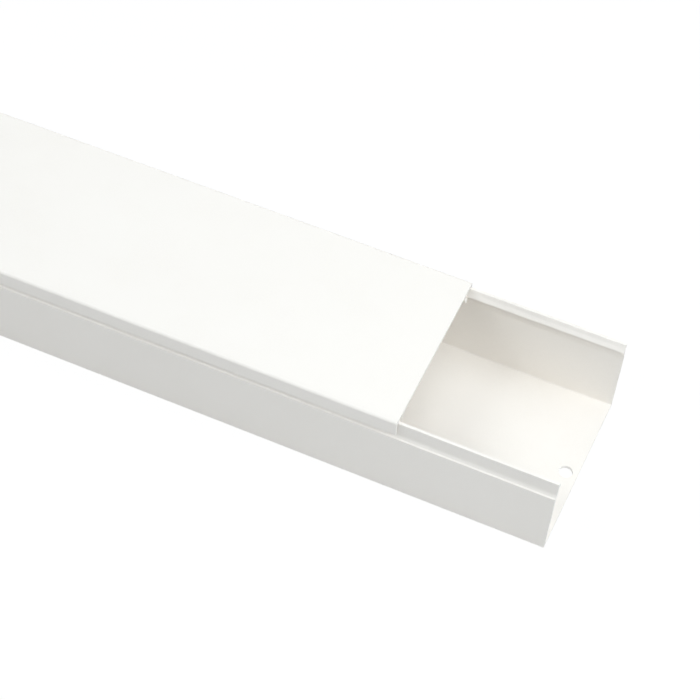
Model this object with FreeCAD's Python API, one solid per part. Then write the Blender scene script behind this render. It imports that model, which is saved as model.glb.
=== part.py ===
import FreeCAD, Part
import math
import os
from FreeCAD import Vector

# White rigid PVC cable raceway: a channel base and a clip-on lid, both straight extrusions.
# The frame is +X along the length towards the open end, -Y the front, +Z up.
# The origin is the centre of the base's underside. Lengths are in millimetres.

# Overall sizes
STOCK_LENGTH = 2000.0
WIDTH = 110.0
HEIGHT = 60.0
LID_SETBACK = 93.5          # how far the lid is slid back from the base's open end

# Base section
BASE_WALL = 1.9             # side walls
BASE_FLOOR = 1.9
REBATE_DEPTH = 14.2         # from the top face to the ledge where the side wall steps in
LIP_THICKNESS = 1.8         # the upright lip that the lid sits on
STEP_IN = 0.95              # the step slopes in by this much and up by STEP_RISE
STEP_RISE = 0.85
STEP_RADIUS = 1.0
COVE_RISE = 2.8             # and from there a hollow curve takes it upright
COVE_RADIUS = 9.0
NECK_DROP = 1.0             # the inner face starts to lean this far below the ledge
NECK_RISE = 3.0             # and stands upright again this far above it
NECK_RADIUS = 3.0
BARB_REACH = 2.2            # the lip's inward barb, which holds the lid down
BARB_DROP = 4.4
BARB_UNDERCUT = 0.7

# Lid section
LID_THICKNESS = 1.9
LID_OVERHANG = 0.5          # the lid stands out past each side wall by this much
SKIRT_THICKNESS = 1.3
SKIRT_DEPTH = 10.1          # from the top face to the skirt's lower edge
LEG_THICKNESS = 1.9         # the inner leg that snaps behind the barb
LEG_DEPTH = 10.4
LEG_LEAN = 4.4              # it leans outward by this much, from the plate down to its foot
HOOK_REACH = 1.3
HOOK_NOSE = 0.5
LEG_TOE = 0.3               # how far the hook's lead-in runs under the leg

# Clearances between the lid and the base
SKIRT_CLEARANCE = 0.6
SEAT_CLEARANCE = 0.1
LEG_CLEARANCE = 0.25
HOOK_CLEARANCE = 0.2

# Edge rounds left by the extrusion die
OUTER_EDGE = 0.5
LEDGE_EDGE = 0.2
LIP_EDGE = 0.3
FLOOR_FILLET = 0.8
LID_EDGE = 1.6
SKIRT_EDGE = 0.25
SKIRT_FILLET = 0.3
LEG_FILLET = 0.6
HOOK_EDGE = 0.2

# Fixing holes, punched in a row along the floor
HOLE_DIAMETER = 8.0
HOLE_PITCH = 250.0
FIRST_HOLE = 8.0            # from the open end to the first hole's centre
HOLE_OFFSET = 3.0           # the row lies this far in front of the middle line

# Places that both pieces share
OPEN_END = STOCK_LENGTH / 2
SKIRT_INNER = SKIRT_THICKNESS - LID_OVERHANG
LIP_OUTER = SKIRT_INNER + SKIRT_CLEARANCE
LIP_INNER = LIP_OUTER + LIP_THICKNESS
LIP_TOP = HEIGHT - LID_THICKNESS - SEAT_CLEARANCE
LEDGE_HEIGHT = HEIGHT - REBATE_DEPTH
BARB_TIP = LIP_INNER + BARB_REACH
BARB_TIP_HEIGHT = LIP_TOP - BARB_DROP
BARB_ROOT_HEIGHT = BARB_TIP_HEIGHT - BARB_UNDERCUT


def both_sides(front):
    """Corners of a whole section: those of the front side, then their mirror image.

    A corner is (inset from the outer face, height, radius of its round).
    """
    near = [(inset - WIDTH / 2, height, radius) for inset, height, radius in front]
    far = [(-across, height, radius) for across, height, radius in reversed(near)]
    return near + far


def section_face(corners):
    """A flat face in the YZ plane, with an arc tangent to both sides at each corner."""
    points = [Vector(0, across, height) for across, height, _ in corners]
    arcs = []
    for index, (_, _, radius) in enumerate(corners):
        corner = points[index]
        back = (points[index - 1] - corner).normalize()
        ahead = (points[(index + 1) % len(points)] - corner).normalize()
        half_angle = back.getAngle(ahead) / 2
        reach = radius / math.tan(half_angle)
        middle = radius / math.sin(half_angle) - radius
        arcs.append((corner + back * reach,
                     corner + (back + ahead).normalize() * middle,
                     corner + ahead * reach))
    edges = []
    for index, (start, via, end) in enumerate(arcs):
        edges.append(Part.Arc(start, via, end).toShape())
        next_start = arcs[(index + 1) % len(arcs)][0]
        edges.append(Part.LineSegment(end, next_start).toShape())
    return Part.Face(Part.Wire(edges))


def extrusion(corners, start_x):
    """A length of stock with this section, from start_x towards the open end."""
    face = section_face(both_sides(corners))
    face.translate(Vector(start_x, 0, 0))
    return face.extrude(Vector(STOCK_LENGTH, 0, 0))


def fixing_holes():
    """The punches for a row of round holes through the floor, from the open end back."""
    count = int((STOCK_LENGTH - FIRST_HOLE - HOLE_DIAMETER / 2) // HOLE_PITCH) + 1
    punches = []
    for index in range(count):
        centre = Vector(OPEN_END - FIRST_HOLE - index * HOLE_PITCH, -HOLE_OFFSET, -BASE_FLOOR)
        punches.append(Part.makeCylinder(HOLE_DIAMETER / 2, 3 * BASE_FLOOR, centre))
    return punches


def base():
    """The channel: floor, two walls, and a rebated lip with an inward barb on each wall."""
    channel = extrusion([
        (0, 0, OUTER_EDGE),
        (0, LEDGE_HEIGHT, LEDGE_EDGE),
        (STEP_IN, LEDGE_HEIGHT + STEP_RISE, STEP_RADIUS),
        (LIP_OUTER, LEDGE_HEIGHT + COVE_RISE, COVE_RADIUS),
        (LIP_OUTER, LIP_TOP, LIP_EDGE),
        (LIP_INNER, LIP_TOP, LIP_EDGE),
        (BARB_TIP, BARB_TIP_HEIGHT, LIP_EDGE),
        (LIP_INNER, BARB_ROOT_HEIGHT, LIP_EDGE),
        (LIP_INNER, LEDGE_HEIGHT + NECK_RISE, NECK_RADIUS),
        (BASE_WALL, LEDGE_HEIGHT - NECK_DROP, NECK_RADIUS),
        (BASE_WALL, BASE_FLOOR, FLOOR_FILLET),
    ], -OPEN_END)
    return channel.cut(fixing_holes())


def lid():
    """The cover: a flat plate, a skirt over each wall's lip, and a hooked leg inside it."""
    underside = HEIGHT - LID_THICKNESS
    skirt_bottom = HEIGHT - SKIRT_DEPTH
    leg_bottom = HEIGHT - LEG_DEPTH
    leg_outer = BARB_TIP + LEG_CLEARANCE
    leg_inner = leg_outer + LEG_THICKNESS
    hook_tip = leg_outer - HOOK_REACH
    hook_top = BARB_ROOT_HEIGHT - HOOK_CLEARANCE
    hook_root = leg_outer + LEG_LEAN * (hook_top - leg_bottom) / (underside - leg_bottom)
    return extrusion([
        (leg_inner + LEG_LEAN, underside, LEG_FILLET),
        (leg_inner, leg_bottom, HOOK_EDGE),
        (leg_outer + LEG_TOE, leg_bottom, HOOK_EDGE),
        (hook_tip, hook_top - HOOK_NOSE, HOOK_EDGE),
        (hook_tip, hook_top, HOOK_EDGE),
        (hook_root, hook_top, HOOK_EDGE),
        (leg_outer + LEG_LEAN, underside, LEG_FILLET),
        (SKIRT_INNER, underside, SKIRT_FILLET),
        (SKIRT_INNER, skirt_bottom, SKIRT_EDGE),
        (-LID_OVERHANG, skirt_bottom, SKIRT_EDGE),
        (-LID_OVERHANG, HEIGHT, LID_EDGE),
    ], -OPEN_END - LID_SETBACK)


os.makedirs("parts", exist_ok=True)
for name, piece in {"base": base(), "lid": lid()}.items():
    piece.exportStep(f"parts/{name}.step")
    print(name, "valid", piece.isValid(), "solids", len(piece.Solids),
          "volume mm3", round(piece.Volume), "faces", len(piece.Faces))
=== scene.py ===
import bmesh
import bpy
import math
from mathutils import Matrix, Vector


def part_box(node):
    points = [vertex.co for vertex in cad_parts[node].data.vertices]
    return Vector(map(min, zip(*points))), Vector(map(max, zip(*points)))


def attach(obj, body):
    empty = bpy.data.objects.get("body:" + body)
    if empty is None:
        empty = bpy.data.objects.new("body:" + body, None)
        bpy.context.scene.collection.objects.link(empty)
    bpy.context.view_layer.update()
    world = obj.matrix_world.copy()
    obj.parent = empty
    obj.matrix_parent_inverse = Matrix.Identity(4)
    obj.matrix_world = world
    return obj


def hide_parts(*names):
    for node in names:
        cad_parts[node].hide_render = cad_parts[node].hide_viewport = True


# A length of white PVC cable raceway with its lid slid back from the open end.
# Sizes are in metres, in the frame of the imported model.

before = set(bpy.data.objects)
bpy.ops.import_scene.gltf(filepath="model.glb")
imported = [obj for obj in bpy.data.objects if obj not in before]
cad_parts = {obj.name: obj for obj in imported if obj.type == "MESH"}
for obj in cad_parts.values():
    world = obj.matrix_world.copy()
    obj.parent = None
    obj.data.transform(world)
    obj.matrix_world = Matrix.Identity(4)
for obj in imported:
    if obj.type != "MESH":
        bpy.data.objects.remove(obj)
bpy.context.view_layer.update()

MM = 0.001

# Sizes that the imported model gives
base_low, base_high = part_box("base")
lid_low, lid_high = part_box("lid")
WIDTH = base_high.y - base_low.y
LIP_TOP = base_high.z
LID_TOP = lid_high.z
OVERHANG = lid_high.y - base_high.y

# Base section, front half. Apart from heights, its places are insets from the outer face.
WALL = 1.9 * MM
FLOOR = 1.9 * MM
LEDGE_HEIGHT = LID_TOP - 14.2 * MM
LEDGE_BEND = 0.9 * MM                   # here the ledge turns up into the hollow
LEDGE_BEND_HEIGHT = LEDGE_HEIGHT + 0.4 * MM
HOLLOW = 1.95 * MM
HOLLOW_HEIGHT = LEDGE_HEIGHT + 2.0 * MM
LIP_OUTER = 1.4 * MM
LIP_INNER = LIP_OUTER + 1.8 * MM
BARB_BEND = LIP_INNER + 1.05 * MM
BARB_BEND_HEIGHT = LIP_TOP - 2.2 * MM
BARB_ROOT_HEIGHT = LIP_TOP - 5.1 * MM
BARB_CORNER = LIP_INNER + 3.1 * MM      # its round takes 0.65 mm off this reach
BARB_CORNER_HEIGHT = BARB_ROOT_HEIGHT + 0.05 * MM
NECK_FOOT_HEIGHT = LEDGE_HEIGHT - 1.0 * MM
NECK_TOP_HEIGHT = LEDGE_HEIGHT + 3.0 * MM

# Rounds of the base section's corners
BASE_EDGE = 0.5 * MM
LEDGE_EDGE = 0.15 * MM
LEDGE_BEND_ROUND = 0.6 * MM
HOLLOW_ROUND = 3.0 * MM
LIP_EDGE = 0.3 * MM
BARB_FACE_ROUND = 4.0 * MM
BARB_EDGE = 0.7 * MM
BARB_FILLET = 0.5 * MM
NECK_ROUND = 10.0 * MM
FLOOR_FILLET = 0.8 * MM

# Lid section, front half, given in the same way
PLATE = 1.9 * MM
PLATE_UNDERSIDE = LID_TOP - PLATE
SKIRT = 1.3 * MM
SKIRT_INNER = SKIRT - OVERHANG
SKIRT_BOTTOM = LID_TOP - 10.1 * MM
LEG = 1.9 * MM
LEG_OUTER = LIP_INNER + 2.45 * MM
LEG_INNER = LEG_OUTER + LEG
LEG_BOTTOM = LID_TOP - 10.4 * MM
LEG_LEAN = 4.4 * MM                     # outward, from the plate down to its foot
HOOK_TIP = LEG_OUTER - 1.3 * MM
HOOK_TOP = BARB_ROOT_HEIGHT - 0.2 * MM
HOOK_NOSE = HOOK_TOP - 0.5 * MM
HOOK_TOE = LEG_OUTER + 0.3 * MM
HOOK_ROOT = LEG_OUTER + LEG_LEAN * (HOOK_TOP - LEG_BOTTOM) / (PLATE_UNDERSIDE - LEG_BOTTOM)

# Rounds of the lid section's corners
LID_EDGE = 1.6 * MM
SKIRT_EDGE = 0.25 * MM
SKIRT_FILLET = 0.3 * MM
LEG_FILLET = 0.6 * MM
HOOK_EDGE = 0.2 * MM

# Fixing holes, punched in a row along the floor
HOLE_RADIUS = 4.0 * MM
HOLE_PITCH = 250.0 * MM
HOLE_COUNT = 8
HOLE_SIDES = 96
FIRST_HOLE = Vector((base_high.x - 8.0 * MM, -3.0 * MM, 0))
PUNCH_LENGTH = 4 * FLOOR

# The hand saw's cut across the base is a little off square
SAW_ANGLE = math.radians(1.07)
SAW_STROKE = 20.0 * MM                  # stock past each cut, which the saw takes off
CUT_DEPTH = 2.5 * MM                    # no cut leans further back than this

# What tells a cut or a punched face from the skin
CUT_FACING = 0.9                        # a cut's normal has more than this of X in it
PUNCH_FACING = 0.1                      # and a punched face's has less than this of Z
PUNCH_REACH = 1.01 * HOLE_RADIUS        # a punched face lies within this of the row

# Meshes
ROUND_STEPS = 8
TOUCH = 0.001 * MM
SMOOTH_ANGLE = math.radians(24)

# Patterns in the plastic: cells to the metre. A stretch under 1 draws them out along that axis.
CLOUD_SCALE = 9.0
CLOUD_STRETCH = (0.6, 1, 1)
PATCH_SCALE = 32.0
DIE_LINE_SCALE = 900.0
DIE_LINE_STRETCH = (0.004, 1, 1)
SAW_MARK_SCALE = 2600.0
SAW_MARK_STRETCH = (1, 0.04, 1)
CHIP_SCALE = 700.0

# Finish of the plastic
PLASTIC_IOR = 1.53
DIE_LINE_GLOSS = 0.10                   # how far the lines and the clouds change the roughness
CLOUD_GLOSS = 0.08
SAWN_ROUGHNESS = 0.75
SAW_MARK_DEPTH = 0.12 * MM

# Camera: it looks at this point of the lid's top, in the middle of the picture
AIM = Vector((0.8639, -0.0203, LID_TOP))
CAMERA_DISTANCE = 1.0306
CAMERA_AZIMUTH = math.radians(20.01)
CAMERA_TILT = math.radians(38.97)
CAMERA_ROLL = math.radians(4.78)
CAMERA_LENS = 97.03
CAMERA_CLIP = 100
SENSOR = 36.0

# The white floor: what it sends on to the object, and what shows of it
STAGE_WIDTH = 30
STAGE_GAP = 0.2 * MM                    # the base's underside stands this far over it
STAGE_GREY = (0.72, 0.72, 0.72, 1)
SHADOW_GREY = (0.08, 0.08, 0.08, 1)
STAGE_WHITE = 0.93
WHITE = (1, 1, 1, 1)

# Light: daylight lamps, a little cool
LIGHT_COLOUR = (0.956, 0.996, 1.03)
SKY = 0.045

# Softboxes: a name, a place, the point that it faces, its width and its watts.
# All but one stand well off, so that they light the whole length of the stock alike.
OPEN_END = (0.85, 0, 0)
CUT_END = (0.95, 0, 0.03)
SOFTBOXES = [
    ("above", (1.75, 0.6, 4.8), OPEN_END, 3.0, 65.0),
    ("far_left", (-3.65, -2.25, 3.45), OPEN_END, 1.8, 53.0),
    ("left", (-1.7, -2.55, 3.9), OPEN_END, 1.8, 41.5),
    ("right", (3.4, -2.55, 3.9), OPEN_END, 1.8, 69.5),
    ("behind", (-1.7, 2.4, 4.5), OPEN_END, 3.0, 36.0),
    ("back", (-1.85, 4.5, 2.7), OPEN_END, 3.0, 59.0),
    ("end", (1.9, -0.12, 0.75), CUT_END, 0.75, 6.2),
]


class Value:
    """One output of a shader node. Arithmetic on it adds Math nodes to its tree."""

    def __init__(self, shader, socket):
        self.shader = shader
        self.socket = socket

    def math(self, operation, first, second):
        return self.shader.node("ShaderNodeMath", {"operation": operation}, {0: first, 1: second})

    def __add__(self, other):
        return self.math("ADD", self, other)

    def __radd__(self, other):
        return self.math("ADD", other, self)

    def __sub__(self, other):
        return self.math("SUBTRACT", self, other)

    def __rsub__(self, other):
        return self.math("SUBTRACT", other, self)

    def __mul__(self, other):
        return self.math("MULTIPLY", self, other)

    def __rmul__(self, other):
        return self.math("MULTIPLY", other, self)


class Shader:
    """A node tree, with one method that adds any node to it."""

    def __init__(self, tree):
        self.tree = tree
        self.tree.nodes.clear()

    def node(self, kind, settings=None, inputs=None, output=0):
        made = self.tree.nodes.new(kind)
        for name, setting in (settings or {}).items():
            setattr(made, name, setting)
        for name, value in (inputs or {}).items():
            if isinstance(value, Value):
                self.tree.links.new(value.socket, made.inputs[name])
            else:
                made.inputs[name].default_value = value
        return Value(self, made.outputs[output] if made.outputs else None)

    def noise(self, scale, detail, stretch=(1, 1, 1)):
        """Noise over the piece, from 0 to 1. Stretch multiplies the scale along each axis."""
        place = self.node("ShaderNodeTexCoord", output="Object")
        mapped = self.node("ShaderNodeMapping", {}, {"Vector": place, "Scale": stretch})
        return self.node("ShaderNodeTexNoise", {},
                         {"Vector": mapped, "Scale": scale, "Detail": detail})

    def contrast(self, value, low, high):
        """Spreads the part of a value between low and high over 0 to 1."""
        return self.node("ShaderNodeMapRange", {},
                         {"Value": value, "From Min": low, "From Max": high})

    def between(self, factor, first, second):
        """A colour between two others."""
        return self.node("ShaderNodeMix", {"data_type": "RGBA"},
                         {"Factor": factor, "A": (*first, 1), "B": (*second, 1)}, "Result")

    def mix(self, factor, first, second):
        """A surface or a light that is the first at factor 0 and the second at 1."""
        return self.node("ShaderNodeMixShader", {}, {0: factor, 1: first, 2: second})


def new_material(name):
    """An empty material and its shader."""
    material = bpy.data.materials.new(name)
    material.use_nodes = True
    return material, Shader(material.node_tree)


def finish_plastic(shader, colour, roughness, relief, depth):
    """Puts a plastic surface on the shader, with a relief that is this deep."""
    normal = shader.node("ShaderNodeBump", {},
                         {"Height": relief, "Strength": 1.0, "Distance": depth})
    surface = shader.node("ShaderNodeBsdfPrincipled", {},
                          {"Base Color": colour, "Roughness": roughness, "Normal": normal,
                           "IOR": PLASTIC_IOR})
    shader.node("ShaderNodeOutputMaterial", {}, {"Surface": surface})


def plastic(name, clear, dull, roughness, grain, grain_depth):
    """White rigid PVC: faint lines from the extrusion die, a cloudy tone and a fine grain."""
    material, shader = new_material(name)
    cloud = shader.noise(CLOUD_SCALE, detail=2.0, stretch=CLOUD_STRETCH)
    speckle = shader.contrast(shader.noise(grain, detail=2.0), low=0.42, high=0.62)
    patch = shader.contrast(shader.noise(PATCH_SCALE, detail=3.0), low=0.45, high=0.6)
    lines = shader.noise(DIE_LINE_SCALE, detail=2.0, stretch=DIE_LINE_STRETCH)
    tone = shader.contrast(cloud, low=0.3, high=0.7) * 0.5 + speckle * patch * 0.5
    colour = shader.between(tone, clear, dull)
    gloss = roughness + (lines - 0.5) * DIE_LINE_GLOSS + (cloud - 0.5) * CLOUD_GLOSS
    finish_plastic(shader, colour, gloss, lines * 0.5 + speckle * 0.5, grain_depth)
    return material


def sawn_plastic(name, clear, dull):
    """A saw-cut end of the PVC: chalky, with fine marks across it."""
    material, shader = new_material(name)
    marks = shader.noise(SAW_MARK_SCALE, detail=3.0, stretch=SAW_MARK_STRETCH)
    chips = shader.noise(CHIP_SCALE, detail=3.0)
    dull_marks = shader.contrast(marks, low=0.35, high=0.7)
    dull_chips = shader.contrast(chips, low=0.45, high=0.65)
    colour = shader.between(dull_marks * 0.5 + dull_chips * 0.5, clear, dull)
    finish_plastic(shader, colour, SAWN_ROUGHNESS, marks * 0.6 + chips * 0.4, SAW_MARK_DEPTH)
    return material


def select_points(piece, test):
    """In edit mode, selects just the points whose place passes the test."""
    bpy.ops.mesh.select_mode(type="VERT")
    mesh = bmesh.from_edit_mesh(piece.data)
    for point in mesh.verts:
        point.select = test(point.co)
    mesh.select_flush_mode()
    bmesh.update_edit_mesh(piece.data)


def select_faces(piece, test):
    """In edit mode, selects just the faces that pass the test."""
    bpy.ops.mesh.select_mode(type="FACE")
    mesh = bmesh.from_edit_mesh(piece.data)
    for face in mesh.faces:
        face.select_set(False)
    for face in mesh.faces:
        if test(face):
            face.select_set(True)
    bmesh.update_edit_mesh(piece.data)


def round_corner(piece, before, corner, after, radius):
    """Rounds one corner of a flat outline, tangent to both of its sides."""
    half_angle = (before - corner).angle(after - corner) / 2
    reach = radius / math.tan(half_angle)
    select_points(piece, lambda place: (place - corner).length < TOUCH)
    bpy.ops.mesh.bevel(offset=reach, offset_type="OFFSET", affect="VERTICES",
                       segments=ROUND_STEPS)


def half_section(name, start_height, corners, end_height):
    """Draws a section's front half, from the middle line round to it again, as one flat face.

    A corner is (inset from the base's outer face, height, radius of its round).
    """
    places = [Vector((0, inset - WIDTH / 2, height)) for inset, height, _ in corners]
    places = [Vector((0, 0, start_height)), *places, Vector((0, 0, end_height))]
    bpy.ops.object.select_all(action="DESELECT")
    bpy.ops.mesh.primitive_plane_add(size=WIDTH)
    piece = bpy.context.object
    piece.name = name
    bpy.ops.object.mode_set(mode="EDIT")
    bpy.ops.mesh.select_mode(type="VERT")
    bpy.ops.mesh.merge(type="CENTER")
    bpy.ops.transform.translate(value=places[0])
    for before, after in zip(places, places[1:]):
        bpy.ops.mesh.extrude_vertices_move(TRANSFORM_OT_translate={"value": after - before})
    bpy.ops.mesh.select_all(action="SELECT")
    bpy.ops.mesh.edge_face_add()
    for index, (_, _, radius) in enumerate(corners):
        round_corner(piece, *places[index:index + 3], radius)
    bpy.ops.object.mode_set(mode="OBJECT")
    return piece


def apply_modifier(piece, kind, settings):
    """Adds one modifier to a piece and applies it."""
    bpy.context.view_layer.objects.active = piece
    modifier = piece.modifiers.new(kind.title(), kind)
    for name, setting in settings.items():
        setattr(modifier, name, setting)
    bpy.ops.object.modifier_apply(modifier=modifier.name)


def saw_off(end, away):
    """Cuts the stock at a plane, drops what lies on the away side, and closes the cut."""
    bpy.ops.mesh.select_all(action="SELECT")
    bpy.ops.mesh.bisect(plane_co=end, plane_no=away, use_fill=True, clear_outer=True)


def face_outwards():
    """In edit mode, turns every face of a closed piece outwards."""
    bpy.ops.mesh.select_all(action="SELECT")
    bpy.ops.mesh.normals_make_consistent(inside=False)


def extrude_stock(piece, low, high, open_end_away):
    """Mirrors the half section, draws it out along X and saws both ends.

    The cut at the open end faces open_end_away, and starts at the stock's far side.
    """
    apply_modifier(piece, "MIRROR", {"use_axis": (False, True, False), "merge_threshold": TOUCH})
    bpy.ops.object.mode_set(mode="EDIT")
    bpy.ops.mesh.select_all(action="SELECT")
    bpy.ops.transform.translate(value=(low.x - SAW_STROKE, 0, 0))
    length = high.x - low.x + 2 * SAW_STROKE
    bpy.ops.mesh.extrude_region_move(TRANSFORM_OT_translate={"value": (length, 0, 0)})
    face_outwards()
    saw_off((low.x, 0, 0), (-1, 0, 0))
    saw_off((high.x, WIDTH / 2, 0), open_end_away)
    face_outwards()
    bpy.ops.object.mode_set(mode="OBJECT")


def punch_holes(piece):
    """Punches the row of fixing holes through the floor."""
    bpy.ops.object.select_all(action="DESELECT")
    bpy.ops.mesh.primitive_cylinder_add(vertices=HOLE_SIDES, radius=HOLE_RADIUS,
                                        depth=PUNCH_LENGTH, location=FIRST_HOLE)
    punches = bpy.context.object
    bpy.ops.object.transform_apply(location=True)
    apply_modifier(punches, "ARRAY", {"count": HOLE_COUNT, "use_relative_offset": False,
                                      "use_constant_offset": True,
                                      "constant_offset_displace": (-HOLE_PITCH, 0, 0)})
    apply_modifier(piece, "BOOLEAN", {"object": punches, "operation": "DIFFERENCE",
                                      "solver": "EXACT"})
    bpy.data.objects.remove(punches)


def is_cut(face, ends):
    """Whether a face is one of the saw's cuts, or the punched wall of a hole."""
    middle = face.calc_center_median()
    from_end = min(abs(middle.x - end) for end in ends)
    sawn = abs(face.normal.x) > CUT_FACING and from_end < CUT_DEPTH
    in_row = abs(middle.y - FIRST_HOLE.y) < PUNCH_REACH and 0 < middle.z < FLOOR
    return sawn or (in_row and abs(face.normal.z) < PUNCH_FACING)


def finish_piece(piece, skin, sawn, body):
    """Gives a piece its finishes, its shading and its body."""
    piece.data.materials.clear()
    piece.data.materials.append(skin)
    piece.data.materials.append(sawn)
    bpy.ops.object.select_all(action="DESELECT")
    piece.select_set(True)
    bpy.context.view_layer.objects.active = piece
    along = [point.co.x for point in piece.data.vertices]
    ends = (min(along), max(along))
    bpy.ops.object.mode_set(mode="EDIT")
    select_faces(piece, lambda face: is_cut(face, ends))
    piece.active_material_index = 1
    bpy.ops.object.material_slot_assign()
    bpy.ops.object.mode_set(mode="OBJECT")
    bpy.ops.object.shade_smooth_by_angle(angle=SMOOTH_ANGLE)
    apply_modifier(piece, "WEIGHTED_NORMAL", {"keep_sharp": True, "weight": 100})
    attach(piece, body)
    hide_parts(body)


def make_base(skin, sawn):
    """The channel: floor, two walls, and a rebated lip with an inward barb on each wall."""
    channel = half_section("channel", 0, [
        (0, 0, BASE_EDGE),
        (0, LEDGE_HEIGHT, LEDGE_EDGE),
        (LEDGE_BEND, LEDGE_BEND_HEIGHT, LEDGE_BEND_ROUND),
        (HOLLOW, HOLLOW_HEIGHT, HOLLOW_ROUND),
        (LIP_OUTER, LIP_TOP, LIP_EDGE),
        (LIP_INNER, LIP_TOP, LIP_EDGE),
        (BARB_BEND, BARB_BEND_HEIGHT, BARB_FACE_ROUND),
        (BARB_CORNER, BARB_CORNER_HEIGHT, BARB_EDGE),
        (LIP_INNER, BARB_ROOT_HEIGHT, BARB_FILLET),
        (LIP_INNER, NECK_TOP_HEIGHT, NECK_ROUND),
        (WALL, NECK_FOOT_HEIGHT, NECK_ROUND),
        (WALL, FLOOR, FLOOR_FILLET),
    ], FLOOR)
    slant = Matrix.Rotation(-SAW_ANGLE, 3, "Z") @ Vector((1, 0, 0))
    extrude_stock(channel, base_low, base_high, slant)
    punch_holes(channel)
    finish_piece(channel, skin, sawn, "base")


def make_lid(skin, sawn):
    """The cover: a flat plate, a skirt over each wall's lip, and a hooked leg inside it."""
    cover = half_section("cover", PLATE_UNDERSIDE, [
        (LEG_INNER + LEG_LEAN, PLATE_UNDERSIDE, LEG_FILLET),
        (LEG_INNER, LEG_BOTTOM, HOOK_EDGE),
        (HOOK_TOE, LEG_BOTTOM, HOOK_EDGE),
        (HOOK_TIP, HOOK_NOSE, HOOK_EDGE),
        (HOOK_TIP, HOOK_TOP, HOOK_EDGE),
        (HOOK_ROOT, HOOK_TOP, HOOK_EDGE),
        (LEG_OUTER + LEG_LEAN, PLATE_UNDERSIDE, LEG_FILLET),
        (SKIRT_INNER, PLATE_UNDERSIDE, SKIRT_FILLET),
        (SKIRT_INNER, SKIRT_BOTTOM, SKIRT_EDGE),
        (-OVERHANG, SKIRT_BOTTOM, SKIRT_EDGE),
        (-OVERHANG, LID_TOP, LID_EDGE),
    ], LID_TOP)
    extrude_stock(cover, lid_low, lid_high, (1, 0, 0))
    finish_piece(cover, skin, sawn, "lid")


def background_rays(shader):
    """1 for the rays that should see the white background, 0 for those that carry light."""
    seen = shader.node("ShaderNodeLightPath", output="Is Camera Ray")
    for name in ("Is Glossy Ray", "Is Transmission Ray"):
        seen = seen + shader.node("ShaderNodeLightPath", output=name)
    return shader.contrast(seen, low=0, high=1)


def make_floor():
    """A plain white floor that keeps the object's shadow."""
    bpy.ops.object.select_all(action="DESELECT")
    bpy.ops.mesh.primitive_plane_add(size=STAGE_WIDTH, location=(0, 0, -STAGE_GAP))
    floor = bpy.context.object
    floor.name = "floor"
    material, shader = new_material("white_floor")
    lit = shader.node("ShaderNodeBsdfDiffuse", {}, {"Color": STAGE_GREY})
    shadowed = shader.node("ShaderNodeBsdfDiffuse", {}, {"Color": SHADOW_GREY})
    white = shader.node("ShaderNodeEmission", {}, {"Color": WHITE, "Strength": STAGE_WHITE})
    shown = shader.node("ShaderNodeAddShader", {}, {0: shadowed, 1: white})
    surface = shader.mix(background_rays(shader), lit, shown)
    shader.node("ShaderNodeOutputMaterial", {}, {"Surface": surface})
    floor.data.materials.append(material)


def make_world():
    """An even sky that lights the object, and shows white behind it."""
    world = bpy.data.worlds.new("studio")
    world.use_nodes = True
    bpy.context.scene.world = world
    shader = Shader(world.node_tree)
    sky = shader.node("ShaderNodeBackground", {}, {"Color": (*LIGHT_COLOUR, 1), "Strength": SKY})
    shown = shader.node("ShaderNodeBackground", {}, {"Color": WHITE, "Strength": 1.0})
    surface = shader.mix(background_rays(shader), sky, shown)
    shader.node("ShaderNodeOutputWorld", {}, {"Surface": surface})


def add_softbox(name, place, target, width, watts):
    """A square softbox that faces a point."""
    bpy.ops.object.light_add(type="AREA", location=place)
    lamp = bpy.context.object
    lamp.name = name
    lamp.data.shape = "SQUARE"
    lamp.data.size = width
    lamp.data.energy = watts
    lamp.data.color = LIGHT_COLOUR
    facing = Vector(target) - Vector(place)
    lamp.rotation_euler = facing.to_track_quat("-Z", "Y").to_euler()


def make_camera():
    """The photograph's camera."""
    bpy.ops.object.camera_add()
    camera = bpy.context.object
    turn = (Matrix.Rotation(CAMERA_AZIMUTH, 4, "Z") @ Matrix.Rotation(CAMERA_TILT, 4, "X")
            @ Matrix.Rotation(CAMERA_ROLL, 4, "Z"))
    place = AIM + turn @ Vector((0, 0, CAMERA_DISTANCE))
    camera.matrix_world = Matrix.Translation(place) @ turn
    camera.data.lens = CAMERA_LENS
    camera.data.sensor_width = SENSOR
    camera.data.clip_end = CAMERA_CLIP
    bpy.context.scene.camera = camera


make_camera()
make_world()
make_floor()
for softbox in SOFTBOXES:
    add_softbox(*softbox)

base_skin = plastic("base_plastic", clear=(0.99, 0.95, 0.891), dull=(0.958, 0.916, 0.854),
                    roughness=0.5, grain=1400.0, grain_depth=0.010 * MM)
lid_skin = plastic("lid_plastic", clear=(0.994, 0.954, 0.896), dull=(0.966, 0.922, 0.858),
                   roughness=0.48, grain=1100.0, grain_depth=0.016 * MM)
cut_face = sawn_plastic("sawn_plastic", clear=(0.95, 0.925, 0.89), dull=(0.87, 0.84, 0.80))
make_base(base_skin, cut_face)
make_lid(lid_skin, cut_face)

bpy.context.scene.view_settings.view_transform = "Standard"
